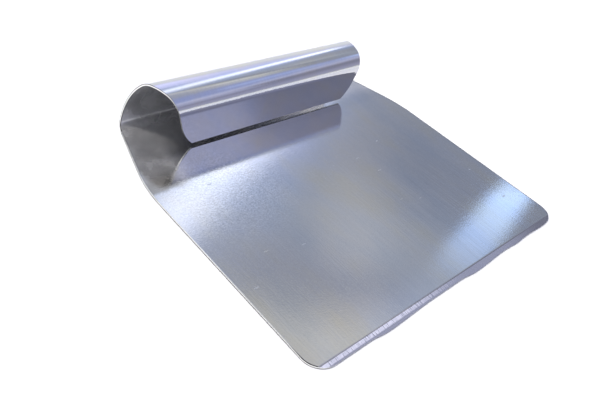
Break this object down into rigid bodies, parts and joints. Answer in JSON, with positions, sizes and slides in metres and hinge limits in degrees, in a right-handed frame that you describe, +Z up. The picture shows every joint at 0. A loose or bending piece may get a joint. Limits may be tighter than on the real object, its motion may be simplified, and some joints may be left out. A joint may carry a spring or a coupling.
{
  "type": "dough scraper",
  "caption": "Dough scraper bent from one stainless steel sheet: wide flat blade with a ground front edge, narrowing at the back into a rolled-over hollow handle.",
  "frame": {"origin": "on the plane that the blade's underside lies on, under the centre of the tool's bounding box", "axes": "+X along the handle, +Y from the ground front edge back to the handle, +Z up from the blade's underside"},
  "size_m": [0.15, 0.1362, 0.0246],
  "materials": {
    "satin_steel": "satin, fine grain running from the ground edge to the handle",
    "polished_steel": "polished"
  },
  "bodies": {
    "root": {"blade": "satin_steel", "rolled_handle": "polished_steel"}
  },
  "joints": []
}
